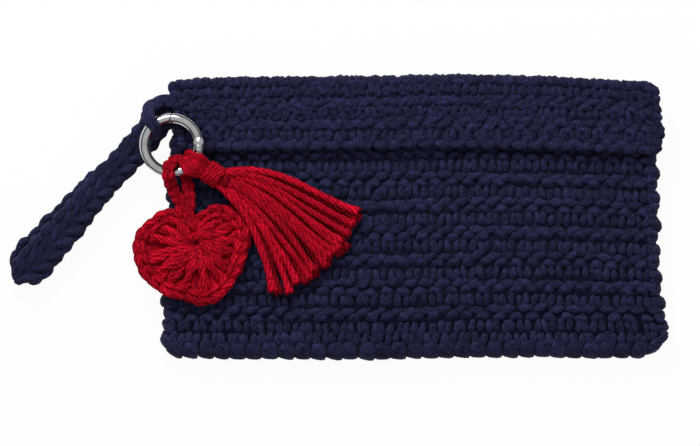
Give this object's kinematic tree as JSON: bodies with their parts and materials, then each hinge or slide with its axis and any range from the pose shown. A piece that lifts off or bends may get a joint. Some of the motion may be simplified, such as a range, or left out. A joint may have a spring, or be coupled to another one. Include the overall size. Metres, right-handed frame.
{
  "type": "crocheted clutch with wrist strap and charms",
  "caption": "Crocheted fold-over clutch lying on its back, with a wrist strap, a spring-gate ring, a heart charm and a yarn tassel.",
  "frame": {"origin": "middle of the pouch on the flat underside of its back panel, the face it lies on", "axes": "+X across the bag to the side without the strap, +Y from the bottom fold to the top fold, +Z out of the front"},
  "size_m": [0.3291, 0.141, 0.0359],
  "materials": {
    "navy_yarn": "matte crocheted cotton cord",
    "red_yarn": "matte cotton yarn",
    "steel": "polished plated ring",
    "snap_metal": "plain magnetic snap"
  },
  "bodies": {
    "pouch": {"back_panel": "navy_yarn", "front_panel": "navy_yarn", "bottom_fold": "navy_yarn", "side_seam_left": "navy_yarn", "side_seam_right": "navy_yarn", "snap_stud": "snap_metal"},
    "fold": {"top_fold": "navy_yarn"},
    "flap": {"flap_panel": "navy_yarn", "snap_socket": "snap_metal", "strap_root": "navy_yarn"},
    "strap": {"strap_loop": "navy_yarn"},
    "ring": {"ring_body": "steel", "gate_pin": "steel", "gate_spring": "steel"},
    "gate": {"ring_gate": "steel"},
    "heart": {"heart_charm": "red_yarn", "heart_loop": "red_yarn"},
    "tassel": {"tassel_strands": "red_yarn", "tassel_neck_wrap": "red_yarn"}
  },
  "joints": [
    {"name": "flap_fold", "type": "hinge", "parent": "pouch", "child": "fold", "pos_m": [0, 0.068, 0.0025], "axis": [-1, 0, 0], "range_deg": [0, 90]},
    {"name": "flap_turn", "type": "hinge", "parent": "fold", "child": "flap", "pos_m": [0, 0.068, 0.0195], "axis": [-1, 0, 0], "range_deg": [0, 90]},
    {"name": "strap_swing", "type": "hinge", "parent": "flap", "child": "strap", "pos_m": [-0.146, 0.025, 0.008], "axis": [0, 0, 1], "range_deg": [-45, 30]},
    {"name": "ring_tip", "type": "hinge", "parent": "flap", "child": "ring", "pos_m": [-0.13353, 0.04023, 0.02645], "axis": [-0.342, -0.9397, 0], "range_deg": [0, 45]},
    {"name": "gate_open", "type": "hinge", "parent": "ring", "child": "gate", "pos_m": [-0.10735, 0.03725, 0.02645], "axis": [0, 0, 1], "range_deg": [0, 12], "stiffness_Nm_per_rad": 0.08, "springref_deg": -17.19},
    {"name": "heart_swing", "type": "hinge", "parent": "ring", "child": "heart", "pos_m": [-0.12269, 0.02218, 0.02645], "axis": [-1, 0, 0], "range_deg": [0, 60]},
    {"name": "tassel_swing", "type": "hinge", "parent": "ring", "child": "tassel", "pos_m": [-0.11042, 0.02689, 0.02645], "axis": [-0.6428, -0.766, 0], "range_deg": [0, 60]}
  ],
  "couplings": [
    {"joint": "flap_turn", "follows": "flap_fold", "ratio": 1}
  ]
}
